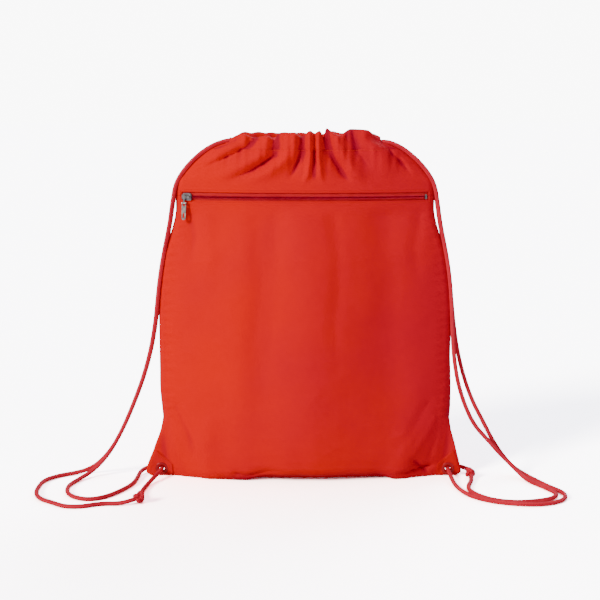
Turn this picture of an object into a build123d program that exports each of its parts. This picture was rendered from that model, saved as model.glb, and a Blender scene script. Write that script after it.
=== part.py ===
from build123d import *
import math
import os

# Drawstring backpack: a stuffed cloth sack with a gathered mouth, a zip pocket across the front,
# two drawcords that run through the hem and back down to an eyelet in each bottom corner.
# Millimetres, +Z up, +X to the right seen from the front, front towards -Y.
# The origin is the middle of the sack's base, on the ground that it stands on.

FABRIC = 1.0            # one layer of cloth
SEAM_GAP = 0.15         # each cloth stays this far from the plane of the side seams
TOP = 421.0             # top of the gathered hem
HEM_BASE = 401.0        # stitched lower edge of the hem
HEM_DEPTH = 12.0        # outer face of the hem to the mouth
MOUTH_HALF = 60.0       # half the length of the gathered mouth
FAR = 600.0             # longer than anything here, for cutting boxes

# Sections of the stuffed sack: height, half width, half depth, half depth at the side seam.
ZIP_BAND = (150.0, 32.0, 7.0)
ZIP_HEIGHT = 346.0
ZIP_BAND_HALF = 13.0
SACK_SECTIONS = [
    (0.0, 152.0, 32.0, 5.0),
    (14.0, 162.0, 41.0, 6.0),
    (45.0, 167.0, 46.0, 7.0),
    (74.0, 170.0, 48.0, 7.0),
    (120.0, 174.0, 49.0, 7.0),
    (200.0, 174.0, 50.0, 7.0),
    (270.0, 167.0, 46.0, 7.0),
    (ZIP_HEIGHT - ZIP_BAND_HALF, *ZIP_BAND),
    (ZIP_HEIGHT + ZIP_BAND_HALF, *ZIP_BAND),
    (374.0, 138.0, 31.0, 9.0),
    (388.0, 124.0, 29.5, 12.0),
    (398.0, 110.0, 28.0, 15.0),
    (HEM_BASE, 96.0, 27.0, 17.0),
    (TOP, 84.0, 26.0, 18.5),
]

# The pocket's inner wall: height, half width, half depth.
LINING_SECTIONS = [
    (3.0, 150.0, 23.0),
    (45.0, 165.0, 28.0),
    (120.0, 172.0, 31.0),
    (200.0, 172.0, 32.0),
    (270.0, 165.0, 28.0),
    (333.0, 148.5, 25.8),
    (358.0, 148.5, 25.8),
]
LINING_EDGE = 2.2       # the lining's outer face ends this far in front of the side seams

# Flat corner ears below the stuffed body, seen from the front, right-hand side.
EAR_HALF = 1.6
EAR_OUTLINE = [(150, 0), (186, 0), (194, 4), (184, 34), (172, 72), (150, 72)]
PATCH = 0.8
PATCH_OUTLINE = [(163, 1), (186, 1), (192.5, 4.5), (183.5, 32), (163, 14)]
EYELET_X = 177.0
EYELET_Z = 9.5
EYELET_BORE = 8.0
EYELET_BARREL = 9.2
EYELET_FLANGE = 16.0
EYELET_PLATE = 0.7
EYELET_HALF = 3.3       # half the length of the pressed eyelet

SEAM_WIDTH = 8.0        # overlocked seam allowance inside the sack
SEAM_HALF = 0.8

# The zip follows the front curve of the sack at ZIP_HEIGHT.  Radii from that curve's centre.
ZIP_CENTRE = (ZIP_BAND[0] ** 2 + ZIP_BAND[2] ** 2 - ZIP_BAND[1] ** 2) / (2 * (ZIP_BAND[1] - ZIP_BAND[2]))
CLOTH_RADIUS = ZIP_CENTRE + ZIP_BAND[1]
TAPE_FRONT = CLOTH_RADIUS - FABRIC - 0.3
TAPE = 0.8
TAPE_SHOWING = 7.0      # half the height of the slot in the cloth
TAPE_REACH = 12.5       # half the height of both tapes together
TAPE_INNER = 0.9
SLOT_HALF = 147.0       # half the length of the slot
TEETH = 2.0             # how far a row of teeth stands in front of its tape
TEETH_INNER = 0.6
TEETH_OUTER = 2.8
CLOSED_ANGLE = -17.57   # slider at the left end, teeth closed
OPEN_ANGLE = 17.2       # slider at the right end

SLIDER_LENGTH = 10.6
SLIDER_HALF = 4.4
SLIDER_PLATE = 1.2
SLIDER_CLEAR = 0.4
DIVIDER = 0.8
POST_X = -3.2           # the crown's post that the pull's link turns on
POST = 1.8
CROWN_GAP = 3.0
CROWN_BAR = 1.2
LINK = 1.2
LINK_EYE = 5.4
LINK_BORE = 2.6
LINK_DROP = 7.6         # from the post to the pull's hinge
HINGE_PIN = 1.4
KNUCKLE = 3.0
KNUCKLE_BORE = 1.8
PULL_WIDTH = 5.6
PULL = 1.0
PULL_LENGTH = 20.0      # from the pull's hinge to its tip
PULL_LEAN = 6.0         # how far the hanging pull leans off the cloth, in degrees

CORD = 4.5
KNOT_LEFT = (-191, -112, 7.05)
KNOT_LEFT_RADIUS = 7.0
KNOT_RIGHT = (203, -12, 5.65)
KNOT_RIGHT_RADIUS = 5.6

# Each cord is one closed loop: out of the front of its eyelet, over the ground, up beside the
# sack, round through the hem, down again and back into the eyelet from behind.  Its knot
# ties the two ends together, and the tube's own ends meet inside the eyelet.
LEFT_CORD = [
    (-177, -0.2, 9.5), (-177, -8, 9.5), (-181, -21, 7.8), (-188, -40, 3.4), (-192, -64, 2.4),
    (-192.5, -88, 3), (-190.5, -106, 6.5), (-197, -117, 6), (-213, -121, 2.7), (-234, -120, 2.4),
    (-255, -132, 2.4), (-275, -131, 2.4), (-290, -117, 2.4), (-307, -104, 2.4), (-317, -82, 2.4),
    (-319, -54, 2.4), (-317, -28, 2.4), (-302, -9, 2.4), (-286, 1, 2.6), (-271, 5, 5.5),
    (-256, 5, 14), (-239, 4.5, 33), (-224, 4.5, 60), (-210, 4.5, 92), (-197, 4.5, 126),
    (-187, 4.5, 162), (-181, 4.5, 197), (-178, 4.5, 227), (-174, 4.5, 257), (-168.5, 4.5, 285),
    (-162.5, 4.5, 312), (-158.5, 4.5, 340), (-154.5, 4.5, 362), (-142.5, 4.5, 380),
    (-128, 4.5, 394.5), (-112.5, 4.5, 405.5), (-97, 4.5, 411.5), (-84, 5.5, 413.2),
    (-70, 12, 413.5), (-50, 17.5, 413.5), (-25, 20, 413.5), (0, 20.6, 413.5), (25, 20, 413.5),
    (48, 17.8, 413.5), (66.2, 15, 413.5), (75, 6.2, 413.5), (75, -6.2, 413.5), (66.2, -15, 413.5),
    (48, -17.8, 413.5), (25, -20, 413.5), (0, -20.6, 413.5), (-25, -20, 413.5), (-50, -17.5, 413.5),
    (-70, -12, 413.5), (-84, -5.5, 413.2), (-97, -4.5, 411.5), (-112.5, -4.5, 405.5),
    (-128, -4.5, 394.5), (-142.5, -4.5, 380), (-154.5, -4.5, 362), (-158.5, -4.5, 340),
    (-162.5, -4.5, 312), (-168.5, -4.5, 285), (-174, -4.5, 257), (-178, -4.5, 227),
    (-181, -4.5, 197), (-187, -4.5, 162), (-197, -4.5, 126), (-210, -4.5, 92), (-224, -4.5, 60),
    (-239, -4.5, 33), (-254, -6, 15), (-267, -11, 5), (-277, -29, 2.4), (-284, -52, 2.4),
    (-281, -79, 2.4), (-268, -99, 2.4), (-248, -106, 2.4), (-231, -94, 2.4), (-217, -70, 2.4),
    (-207, -44, 2.4), (-205, -18, 2.8), (-204, 4, 4.5), (-195, 15, 7), (-183, 16, 8.8),
    (-177, 9, 9.5), (-177, 0.2, 9.5),
]
RIGHT_CORD = [
    (177, -0.2, 9.5), (177, -9, 9.5), (178, -26, 6), (180, -46, 2.8), (184, -68, 2.4), (191, -88, 2.4),
    (205, -105, 2.4), (224, -117, 2.4), (248, -123.5, 2.4), (272, -124, 2.4), (292, -114, 2.4),
    (304, -98, 2.4), (304, -77, 2.4), (292, -56, 2.4), (281, -30, 2.4), (271, -8, 3.6),
    (260, 2, 11), (247, 4, 26), (234, 4.5, 46), (220, 4.5, 68), (206, 4.5, 94), (194, 4.5, 127),
    (186, 4.5, 160), (181, 4.5, 195), (178, 4.5, 225), (174, 4.5, 255), (168.5, 4.5, 285),
    (162.5, 4.5, 312), (158.5, 4.5, 340), (154.5, 4.5, 362), (142.5, 4.5, 380), (128, 4.5, 394.5),
    (113, 4.5, 404.5), (98, 4.5, 407), (84, 5.5, 407.3), (70, 12, 407), (50, 17.5, 407),
    (25, 20, 407), (0, 20.6, 407), (-25, 20, 407), (-48, 17.8, 407), (-66.2, 15, 407),
    (-75, 6.2, 407), (-75, -6.2, 407), (-66.2, -15, 407), (-48, -17.8, 407), (-25, -20, 407),
    (0, -20.6, 407), (25, -20, 407), (50, -17.5, 407), (70, -12, 407), (84, -5.5, 407.3),
    (98, -4.5, 407), (113, -4.5, 404.5), (128, -4.5, 394.5), (142.5, -4.5, 380), (154.5, -4.5, 362),
    (158.5, -4.5, 340), (162.5, -4.5, 312), (168.5, -4.5, 285), (174, -4.5, 255),
    (177.5, -4.5, 220), (179, -4.5, 185), (181.5, -4.5, 150), (187, -4.5, 118), (196, -4.5, 90),
    (208, -4.5, 65), (222, -4.5, 45), (236, -4.5, 28.5), (249, -6, 15.5), (261, -13, 4.8),
    (271, -32, 2.4), (282, -57, 2.4), (291, -82, 2.4), (281, -101, 2.4), (262, -113, 2.4),
    (240, -115.5, 2.4), (218, -108, 2.4), (203, -91, 2.4), (194, -70, 2.4), (196, -50, 2.4),
    (202, -33, 2.7), (204, -17, 4.8), (206.5, -4, 5.2), (205, 8, 5), (195, 16.5, 6.8),
    (183, 16, 8.8), (177, 9, 9.5), (177, 0.2, 9.5),
]


def slab(low, high):
    """Everything between two heights."""
    return Pos(0, 0, (low + high) / 2) * Box(FAR, FAR, high - low)


def half_space(side):
    """Everything in front of (-1) or behind (+1) the plane of the side seams."""
    return Pos(0, side * (FAR / 2 + SEAM_GAP), FAR / 2 - 1) * Box(FAR, FAR, FAR)


def sack_section(section, inset):
    """One level section of the sack, pulled in by inset: two wide arcs joined by short sides."""
    height, half_width, half_depth, half_side = section
    centre = (half_width ** 2 + half_side ** 2 - half_depth ** 2) / (2 * (half_depth - half_side))
    side_x = half_width - inset
    side_y = math.sqrt((centre + half_depth - inset) ** 2 - side_x ** 2) - centre
    crown_y = half_depth - inset
    edges = [
        ThreePointArc((-side_x, -side_y), (0, -crown_y), (side_x, -side_y)),
        Line((side_x, -side_y), (side_x, side_y)),
        ThreePointArc((side_x, side_y), (0, crown_y), (-side_x, side_y)),
        Line((-side_x, side_y), (-side_x, -side_y)),
    ]
    return Pos(0, 0, height) * make_face(edges)


def sack(inset=0.0, sections=SACK_SECTIONS):
    """The sack's outer form, or the same form pulled in by inset all round."""
    return loft([sack_section(section, inset) for section in sections], ruled=True)


def upright_plate(outline, low_y, high_y, side):
    """A plate cut to an outline seen from the front, on the right (+1) or mirrored to the left (-1)."""
    points = [(side * x, z) for x, z in outline]
    face = Plane.XZ * make_face(Polyline(*points, close=True))
    return Pos(0, high_y, 0) * extrude(face, high_y - low_y)


def rod(diameter, length, place, direction):
    """A round rod that starts at a place and points in a direction."""
    return Plane(origin=place, z_dir=direction) * Pos(0, 0, length / 2) * Cylinder(diameter / 2, length)


def eyelet_hole(diameter, side):
    return rod(diameter, 40, (side * EYELET_X, -20, EYELET_Z), (0, 1, 0))


def cloth_shell():
    """The whole sack below its hem, one cloth thick, with its flat corner ears."""
    shell = sack()
    for side in (-1, 1):
        shell += upright_plate(EAR_OUTLINE, -EAR_HALF, EAR_HALF, side)
    shell -= sack(FABRIC) & slab(FABRIC, TOP)
    for side in (-1, 1):
        shell -= eyelet_hole(EYELET_BARREL + 0.2, side)
    return shell & slab(0, HEM_BASE)


def front_cloth(shell):
    """The front cloth in two pieces, below and above the slot for the zip."""
    slot = Pos(0, -FAR / 2, ZIP_HEIGHT) * Box(2 * SLOT_HALF, FAR, 2 * TAPE_SHOWING)
    cloth = (shell & half_space(-1)) - slot
    lower = cloth & slab(0, ZIP_HEIGHT - SEAM_GAP)
    upper = cloth & slab(ZIP_HEIGHT + SEAM_GAP, HEM_BASE)
    return lower, upper


def pocket_lining():
    """The wall behind the pocket, sewn in at the sides, the base and the upper zip tape."""
    faces = []
    for height, half_width, half_depth in LINING_SECTIONS:
        front_y = -LINING_EDGE
        back_y = front_y + FABRIC
        edges = [
            ThreePointArc((-half_width, front_y), (0, -half_depth), (half_width, front_y)),
            Line((half_width, front_y), (half_width, back_y)),
            ThreePointArc((half_width, back_y), (0, FABRIC - half_depth), (-half_width, back_y)),
            Line((-half_width, back_y), (-half_width, front_y)),
        ]
        faces.append(Pos(0, 0, height) * make_face(edges))
    return loft(faces, ruled=True)


def hem():
    """The hem round the mouth: a hollow ring that the cords run in, open at the side seams."""
    sections = SACK_SECTIONS[-2:]
    room = sack(FABRIC, sections) & slab(HEM_BASE + FABRIC, TOP - FABRIC)
    inner_wall = sack(HEM_DEPTH - FABRIC, sections) & Box(2 * (MOUTH_HALF + FABRIC), FAR, 2 * FAR)
    mouth = sack(HEM_DEPTH, sections) & Box(2 * MOUTH_HALF, FAR, 2 * FAR)
    ring = sack(0, sections) - (room - inner_wall) - mouth
    for side in (-1, 1):
        ring -= Pos(side * 90, 0, 410.5) * Box(28, 17, 14.5)
    return ring


def side_seam(side):
    """Overlocked edges of the cloths, standing inside the sack along one side seam."""
    faces = []
    for height, half_width, *_ in SACK_SECTIONS[1:-2]:
        middle_x = half_width - FABRIC - 0.2 - SEAM_WIDTH / 2
        faces.append(Pos(side * middle_x, 0, height) * Rectangle(SEAM_WIDTH, 2 * SEAM_HALF))
    return loft(faces, ruled=True)


def bottom_seam():
    return Pos(0, 0, FABRIC + 0.2 + SEAM_WIDTH / 2) * Box(280, 2 * SEAM_HALF, SEAM_WIDTH)


def corner_patch(side):
    """Two small reinforcing leaves, one on each face of a corner ear."""
    leaf = EAR_HALF + 0.1
    patch = upright_plate(PATCH_OUTLINE, -leaf - PATCH, -leaf, side)
    patch += upright_plate(PATCH_OUTLINE, leaf, leaf + PATCH, side)
    return patch - eyelet_hole(EYELET_BARREL + 0.2, side)


def eyelet(side):
    """The flanged half of an eyelet, its barrel through the cloth."""
    start = (side * EYELET_X, -EYELET_HALF, EYELET_Z)
    flange = rod(EYELET_FLANGE, EYELET_PLATE, start, (0, 1, 0))
    barrel = rod(EYELET_BARREL, 2 * EYELET_HALF, start, (0, 1, 0))
    return flange + barrel - eyelet_hole(EYELET_BORE, side)


def eyelet_washer(side):
    """The ring that an eyelet's barrel is rolled over, behind the cloth."""
    start = (side * EYELET_X, EYELET_HALF - EYELET_PLATE, EYELET_Z)
    return rod(EYELET_FLANGE, EYELET_PLATE, start, (0, 1, 0)) - eyelet_hole(EYELET_BARREL + 0.1, side)


def zip_band(inner, outer, start, end, low, high):
    """A strip that follows the zip's curve between two radii, two angles and two heights."""
    corners = []
    for radius in (inner, outer):
        row = []
        for angle in (start, (start + end) / 2, end):
            turn = math.radians(angle)
            row.append((radius * math.sin(turn), ZIP_CENTRE - radius * math.cos(turn)))
        corners.append(row)
    near, far = corners
    edges = [
        ThreePointArc(*near),
        Line(near[2], far[2]),
        ThreePointArc(*reversed(far)),
        Line(far[0], near[0]),
    ]
    face = Pos(0, 0, ZIP_HEIGHT + low) * make_face(edges)
    return extrude(face, high - low)


def arc_angle(x):
    """The angle along the zip at which a point on the tape stands at x."""
    return math.degrees(math.asin(x / TAPE_FRONT))


def zip_tape(side):
    """The upper (+1) or lower (-1) tape."""
    end = arc_angle(SLOT_HALF - 0.5)
    low, high = sorted((side * TAPE_INNER, side * TAPE_REACH))
    return zip_band(TAPE_FRONT - TAPE, TAPE_FRONT, -end, end, low, high)


def zip_teeth(side):
    """The row of teeth on one tape, as a plain strip of the coil's section."""
    low, high = sorted((side * TEETH_INNER, side * TEETH_OUTER))
    return zip_band(TAPE_FRONT, TAPE_FRONT + TEETH, arc_angle(-144.8), arc_angle(142.3), low, high)


def zip_stop_left():
    """Two small stops, one at the end of each row."""
    start, end = arc_angle(-146.4), arc_angle(-145.1)
    stops = zip_band(TAPE_FRONT, TAPE_FRONT + TEETH, start, end, TEETH_INNER, TEETH_OUTER)
    stops += zip_band(TAPE_FRONT, TAPE_FRONT + TEETH, start, end, -TEETH_OUTER, -TEETH_INNER)
    return stops


def zip_stop_right():
    """One stop across both rows."""
    start, end = arc_angle(142.6), arc_angle(144.6)
    return zip_band(TAPE_FRONT, TAPE_FRONT + TEETH, start, end, -TEETH_OUTER, TEETH_OUTER)


def zip_block(length, inner, outer, low, high, x=0.0):
    """A block at the middle of the zip, between two radii and two heights."""
    place = (x, ZIP_CENTRE - (inner + outer) / 2, ZIP_HEIGHT + (low + high) / 2)
    return Pos(*place) * Box(length, outer - inner, high - low)


PLATE_INNER = TAPE_FRONT + TEETH + SLIDER_CLEAR
PLATE_OUTER = PLATE_INNER + SLIDER_PLATE
BACK_OUTER = TAPE_FRONT - TAPE - SLIDER_CLEAR
LINK_RADIUS = PLATE_OUTER + CROWN_GAP - 0.5 - LINK / 2
OUTWARD = (0, -1, 0)


def on_zip(radius, x=0.0, z=0.0):
    """A point at the middle of the zip, at a radius from its centre."""
    return (x, ZIP_CENTRE - radius, ZIP_HEIGHT + z)


def zip_slider_body():
    """Two plates joined by the divider that parts the teeth, with rails over the tape."""
    body = zip_block(SLIDER_LENGTH, PLATE_INNER, PLATE_OUTER, -SLIDER_HALF, SLIDER_HALF)
    body = fillet(body.edges().filter_by(Axis.Y), 1.6)
    back = zip_block(SLIDER_LENGTH, BACK_OUTER - SLIDER_PLATE, BACK_OUTER, -SLIDER_HALF, SLIDER_HALF)
    body += fillet(back.edges().filter_by(Axis.Y), 1.6)
    body += zip_block(3.0, BACK_OUTER, PLATE_INNER, -DIVIDER / 2, DIVIDER / 2, -SLIDER_LENGTH / 2 + 2)
    rail = SLIDER_LENGTH - 3.2
    for side in (-1, 1):
        low, high = sorted((side * (SLIDER_HALF - 0.9), side * SLIDER_HALF))
        body += zip_block(rail, TAPE_FRONT + SLIDER_CLEAR, PLATE_INNER, low, high)
    return body


def zip_crown():
    """The bridge on the slider's front plate that holds the pull's link."""
    crown = rod(POST, CROWN_GAP, on_zip(PLATE_OUTER, POST_X), OUTWARD)
    crown += rod(POST, CROWN_GAP, on_zip(PLATE_OUTER, -POST_X), OUTWARD)
    bar_foot = PLATE_OUTER + CROWN_GAP
    bar = zip_block(-2 * POST_X + POST, bar_foot, bar_foot + CROWN_BAR, -POST / 2, POST / 2)
    return crown + fillet(bar.edges().filter_by(Axis.Y), POST / 2 - 0.05)


def pull_link():
    """An eye round the crown's post and a short shank that ends in the pull's hinge pin."""
    back = LINK_RADIUS - LINK / 2
    link = rod(LINK_EYE, LINK, on_zip(back, POST_X), OUTWARD)
    link += zip_block(2.0, back, back + LINK, -LINK_DROP, 0, POST_X)
    link += rod(HINGE_PIN, PULL_WIDTH, on_zip(LINK_RADIUS, POST_X - PULL_WIDTH / 2, -LINK_DROP), (1, 0, 0))
    return link - rod(LINK_BORE, 10, on_zip(back - 5, POST_X), OUTWARD)


def zip_pull():
    """The pull: two knuckles round the hinge pin and a long flat tab with a slot near its tip."""
    start = on_zip(LINK_RADIUS, POST_X - PULL_WIDTH / 2, -LINK_DROP)
    pull = rod(KNUCKLE, PULL_WIDTH, start, (1, 0, 0))
    tab = zip_block(PULL_WIDTH, LINK_RADIUS - PULL / 2, LINK_RADIUS + PULL / 2,
                    -LINK_DROP - PULL_LENGTH, -LINK_DROP, POST_X)
    tab_end = tab.edges().filter_by(Axis.Y).group_by(Axis.Z)[0]
    pull += fillet(tab_end, PULL_WIDTH / 2 - 0.1)
    pull -= rod(KNUCKLE_BORE, FAR, on_zip(LINK_RADIUS, -FAR / 2, -LINK_DROP), (1, 0, 0))
    pull -= Pos(*on_zip(LINK_RADIUS, POST_X, -LINK_DROP)) * Box(2.6, 2 * KNUCKLE, 2 * KNUCKLE)
    slot = SlotOverall(6.0, 2.2, rotation=90)
    cutter = extrude(Plane(origin=on_zip(LINK_RADIUS, POST_X, -LINK_DROP - PULL_LENGTH + 5.5),
                           x_dir=(1, 0, 0), z_dir=OUTWARD) * slot, 3, both=True)
    hinge = Axis(on_zip(LINK_RADIUS, POST_X, -LINK_DROP), (-1, 0, 0))
    return (pull - cutter).rotate(hinge, PULL_LEAN)


def at_closed_end(solid):
    """Turn a slider piece from the middle of the zip to its closed end."""
    return solid.rotate(Axis((0, ZIP_CENTRE, 0), (0, 0, 1)), CLOSED_ANGLE)


def bend_radii(points):
    """The bend at each inner point of a route: 0.45 of its shorter run, eased by half the turn."""
    radii = []
    for before, here, after in zip(points, points[1:], points[2:]):
        run_in = Vector(*here) - Vector(*before)
        run_out = Vector(*after) - Vector(*here)
        half_turn = math.radians(run_in.get_angle(run_out) / 2)
        radii.append(0.45 * min(run_in.length, run_out.length) / math.tan(half_turn))
    return radii


def cord_tube(name, points):
    """A round cord along straight runs joined by tangent arcs."""
    radii = bend_radii(points)
    path = FilletPolyline(*points, radius=radii)
    print(name, "length", round(path.length), "tightest bend", round(min(radii), 1))
    print("  bends", " ".join(str(round(radius)) for radius in radii))
    tube = sweep(Plane(origin=path @ 0, z_dir=path % 0) * Circle(CORD / 2), path=path)
    section = math.pi * CORD ** 2 / 4
    print("  volume over section times length", round(tube.volume / (section * path.length), 4))
    return tube


def build():
    shell = cloth_shell()
    pocket_front, front_upper = front_cloth(shell)
    ring = hem()
    nodes = {
        "back_panel": shell & half_space(1),
        "pocket_front": pocket_front,
        "front_panel_upper": front_upper,
        "pocket_lining": pocket_lining(),
        "hem_channel_front": ring & half_space(-1),
        "hem_channel_back": ring & half_space(1),
        "bottom_seam": bottom_seam(),
        "zip_tape_upper": zip_tape(1),
        "zip_tape_lower": zip_tape(-1),
        "zip_teeth_upper": zip_teeth(1),
        "zip_teeth_lower": zip_teeth(-1),
        "zip_stop_left": zip_stop_left(),
        "zip_stop_right": zip_stop_right(),
        "zip_slider_body": at_closed_end(zip_slider_body()),
        "zip_slider_crown": at_closed_end(zip_crown()),
        "zip_pull_link": at_closed_end(pull_link()),
        "zip_pull": at_closed_end(zip_pull()),
        "knot_left": Pos(*KNOT_LEFT) * Sphere(KNOT_LEFT_RADIUS),
        "knot_right": Pos(*KNOT_RIGHT) * Sphere(KNOT_RIGHT_RADIUS),
        "drawcord_left": cord_tube("drawcord_left", LEFT_CORD),
        "drawcord_right": cord_tube("drawcord_right", RIGHT_CORD),
    }
    for name, side in (("left", -1), ("right", 1)):
        nodes["side_seam_" + name] = side_seam(side)
        nodes["corner_patch_" + name] = corner_patch(side)
        nodes["eyelet_" + name] = eyelet(side)
        nodes["eyelet_washer_" + name] = eyelet_washer(side)
    return nodes


os.makedirs("parts", exist_ok=True)
for node, solid in build().items():
    export_step(solid, os.path.join("parts", node + ".step"))

turn = math.radians(CLOSED_ANGLE)
post = (POST_X * math.cos(turn) + LINK_RADIUS * math.sin(turn),
        ZIP_CENTRE + POST_X * math.sin(turn) - LINK_RADIUS * math.cos(turn))
print("zip axis at y", round(ZIP_CENTRE, 3), "travel", round(OPEN_ANGLE - CLOSED_ANGLE, 2))
print("link post at", round(post[0], 3), round(post[1], 3), ZIP_HEIGHT)
print("outward", round(math.sin(turn), 5), round(-math.cos(turn), 5))
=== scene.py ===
import functools
import math
import random

import bpy
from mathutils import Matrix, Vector, noise


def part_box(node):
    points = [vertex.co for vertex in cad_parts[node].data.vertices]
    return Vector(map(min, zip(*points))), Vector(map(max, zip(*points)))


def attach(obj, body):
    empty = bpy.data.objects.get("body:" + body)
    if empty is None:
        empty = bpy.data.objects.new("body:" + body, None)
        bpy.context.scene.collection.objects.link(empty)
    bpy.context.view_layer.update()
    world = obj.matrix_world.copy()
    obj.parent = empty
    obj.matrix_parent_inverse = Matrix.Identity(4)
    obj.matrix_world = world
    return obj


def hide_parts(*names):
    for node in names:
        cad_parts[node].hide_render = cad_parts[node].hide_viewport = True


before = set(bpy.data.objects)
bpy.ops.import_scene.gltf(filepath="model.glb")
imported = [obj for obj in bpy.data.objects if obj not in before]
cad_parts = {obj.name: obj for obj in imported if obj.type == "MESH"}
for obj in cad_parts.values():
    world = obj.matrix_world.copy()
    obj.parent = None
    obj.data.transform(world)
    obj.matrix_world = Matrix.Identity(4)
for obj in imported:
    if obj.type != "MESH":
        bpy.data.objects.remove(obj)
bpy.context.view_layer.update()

# Drawstring backpack: woven polyester sack, zip pocket, two braided drawcords, lacquered eyelets.
# Cloth and hardware are worked out in millimetres, as the CAD model is, and built in metres.
# Front is -Y, so a front piece has side -1 and a back piece has side +1.

METRE = 0.001           # one millimetre, in metres
HANDS = ((-1, "left"), (1, "right"))    # sign of x and word for each side of the picture

CAMERA_AT = (-0.006, -1.5, 0.45)
CAMERA_LOOKS_AT = (-0.006, 0.0, 0.22)
CAMERA_LENS = 75.0

# Cloth.
CLOTH = 0.7             # thickness of one layer
PATCH = 0.6             # thickness of a corner patch
SEAM_CLOTH = 1.2        # thickness of the doubled cloth of a seam allowance
SEAM_WAVE = 0.25        # height and pitch of its waves
SEAM_WAVE_PITCH = 9.0
SEAM_GAP = 0.15         # front and back cloth stay this far from the side seams' plane
GRID = 1.9              # spacing of the cloth's vertices
COLUMNS = 180           # columns of vertices across a panel
ZIP_HEIGHT = 346.0
SLOT_HALF_HEIGHT = 4.8
LIP = 5.4               # height of the folded and stitched edge beside the slot
HEM_BASE = 401.0
HEM_TOP = 420.0
SHOULDER_TOP = 410.3    # the panels run on up beside the hem's ends as far as this
SHOULDER_INNER = 84.0
EAR_HALF = 1.6          # half thickness of the flat corner ears
EDGE_ROUND = 6.5        # reach of the rounding beside a side seam
EYELET_X = 177.0
EYELET_Z = 9.5
EYELET_CUT = 6.0        # radius cut out of the cloth, hidden by the eyelet's flange
FLOOR_GAP = 0.8         # the cloth's outer face stands this far off the floor
SACK_TOP = 421.0
HEM_COLUMNS = 210
LINING_COLUMNS = 90
PATCH_ROWS = 12
PATCH_COLUMNS = 24
EDGE_ANGLES = (18, 36, 52, 66, 78, 90)                  # places round a panel's side edge, in degrees
UNDER_SHARES = (0.0, 0.2, 0.4, 0.6, 0.75, 0.88, 0.96)   # places from the bottom seam out to the panel
HEM_SHARES = (0.0, 0.1, 0.22, 0.36, 0.5, 0.65, 0.8)     # places up the hem's outer face

# Colour of the cloth, and the shade painted into it.
PAINTED_SHADE_DRIFT = 2.0         # painted shade: the cloth turns from orange on the lit left to shaded crimson red on the right, by this much per metre
CREASE_SHADE_COLOUR = (0.44, 0.004, 0.031)   # painted shade: the cloth is painted crimson down in a crease, where shade falls
# Share of the painted crease shade on the front and on the back.
CREASE_SHADE_SHARE = 0.9
BACK_CREASE_SHADE_SHARE = 0.45
CREASE_SHADE_REACH = 5        # a crease is measured against the points this many places away
HEM_CREASE_SHADE_REACH = 11

# Light. The camera sees the paper and the surroundings far brighter than they light the bag.
WORLD_LIGHT = 0.24
WORLD_SEEN = 9.2
PAPER_SEEN = 9.0
PAPER_REACH = 40000     # half the paper's width
PAPER_STEP = 4000

# Height, half width, half depth and depth beside the side seam of the stuffed sack.
SACK = [
    (0.0, 152.0, 27.0, 5.0),
    (5.0, 157.0, 35.5, 5.5),
    (14.0, 162.0, 41.0, 6.0),
    (45.0, 167.0, 46.0, 7.0),
    (74.0, 170.0, 48.0, 7.0),
    (120.0, 174.0, 49.0, 7.0),
    (200.0, 174.0, 50.0, 7.0),
    (270.0, 167.0, 46.0, 7.0),
    (333.0, 150.0, 32.0, 7.0),
    (359.0, 150.0, 32.0, 7.0),
    (378.0, 137.2, 31.0, 7.4),
    (392.0, 123.0, 29.5, 8.2),
    (402.5, 108.0, 27.5, 9.5),
    (405.5, 101.5, 27.1, 9.5),
    (408.3, 93.5, 26.8, 9.5),
    (411.0, 89.5, 26.6, 9.5),
    (421.0, 84.0, 26.0, 9.5),
]
# Height, half width and reach of the edge rounding of the ears below the sack.
EARS = [(0.0, 189.0, 1.6), (4.0, 193.5, 1.6), (34.0, 184.5, 2.2), (60.0, 176.0, 4.5),
        (74.0, 173.5, EDGE_ROUND)]
# Height and reach of the cloth's rounded edge past the sack's half width, up beside the cords.
SIDE_REACH = [(74.0, 3.5), (285.0, 3.5), (318.0, 4.8), (350.0, 5.0), (366.0, 3.5), (421.0, 3.5)]
EDGE_START = 3.0        # the rounding starts this far inside the half width
# Height and how much further out the cloth stands above each corner ear.
BULGE_LEFT = [(4.0, 3.0), (40.0, 2.0), (74.0, 1.0), (130.0, 0.0)]
BULGE_RIGHT = [(14.0, 0.0), (50.0, 3.6), (78.0, 4.2), (112.0, 1.6), (150.0, 0.0)]
# Height, half width and half depth of the pocket's inner wall.
LINING = [(3.0, 149.0, 23.0), (45.0, 164.0, 28.0), (120.0, 171.0, 31.0), (200.0, 171.0, 32.0),
          (270.0, 164.0, 28.0), (333.0, 147.5, 25.8), (358.0, 147.5, 25.8)]

# Folds of the front below the gathered hem: rise (a crease is negative), half width, line in x and z.
FRONT_FOLDS = [
    (-8.0, 4.5, [(-35, 420), (-36, 394), (-62, 377), (-104, 360)]),
    (4.5, 7.0, [(-46, 412), (-50, 394), (-82, 378), (-118, 364)]),
    (-6.0, 4.5, [(-52, 416), (-72, 402), (-100, 389), (-134, 374)]),
    (5.5, 8.0, [(-14, 415), (-18, 394), (-44, 375), (-84, 358)]),
    (3.5, 7.0, [(-72, 412), (-98, 396), (-130, 378)]),
    (-6.0, 3.5, [(-4, 418), (-5, 398), (-12, 378), (-22, 364)]),
    (4.6, 3.2, [(5, 424), (6, 394), (3, 372), (-4, 356)]),
    (4.6, 3.2, [(16, 424), (16, 394), (18, 372), (24, 356)]),
    (-3.0, 2.0, [(10.5, 420), (11, 396), (11, 376)]),
    (-9.0, 4.0, [(24, 420), (29, 398), (43, 374), (58, 358)]),
    (6.5, 8.5, [(36, 420), (45, 394), (60, 374), (76, 356)]),
    (-3.0, 4.0, [(55, 420), (62, 398), (78, 376)]),
    (5.0, 13.0, [(76, 418), (90, 394), (106, 368)]),
    (-5.5, 4.0, [(90, 412), (104, 396), (118, 382), (130, 366)]),
    (3.0, 6.0, [(100, 406), (120, 390), (137, 372)]),
]
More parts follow.
